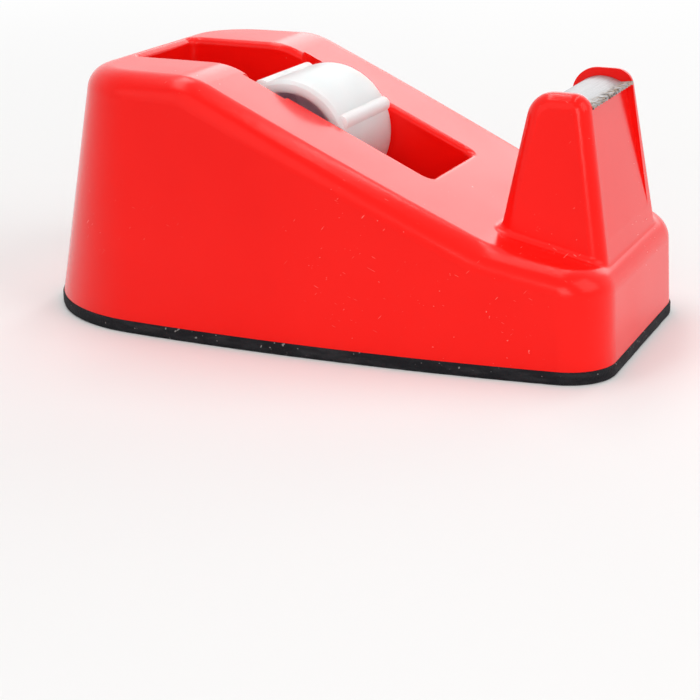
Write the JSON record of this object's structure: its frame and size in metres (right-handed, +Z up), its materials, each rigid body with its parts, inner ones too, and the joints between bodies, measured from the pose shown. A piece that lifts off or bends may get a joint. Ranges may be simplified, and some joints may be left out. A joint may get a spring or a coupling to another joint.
{
  "type": "desk tape dispenser",
  "caption": "Weighted desk dispenser for small rolls of adhesive tape, with a lift-out core wheel, a toothed cutter blade and a foam base.",
  "frame": {"origin": "middle of the face that the dispenser rests on", "axes": "+X along the length towards the cutter, +Y across the width, +Z up"},
  "size_m": [0.112, 0.0628, 0.0465],
  "materials": {
    "housing_plastic": "gloss",
    "wheel_plastic": "translucent satin",
    "blade_steel": "satin",
    "ballast_fill": "rough",
    "plate_plastic": "matt",
    "pad_foam": "foam"
  },
  "bodies": {
    "base": {"housing": "housing_plastic", "cutter_blade": "blade_steel", "ballast": "ballast_fill", "bottom_plate": "plate_plastic", "base_pad": "pad_foam"},
    "wheel": {"tape_wheel": "wheel_plastic"}
  },
  "joints": [
    {"name": "wheel_spin", "type": "hinge", "parent": "base", "child": "wheel", "pos_m": [-0.0086, 0, 0.0319], "axis": [0, 1, 0], "continuous": true}
  ]
}
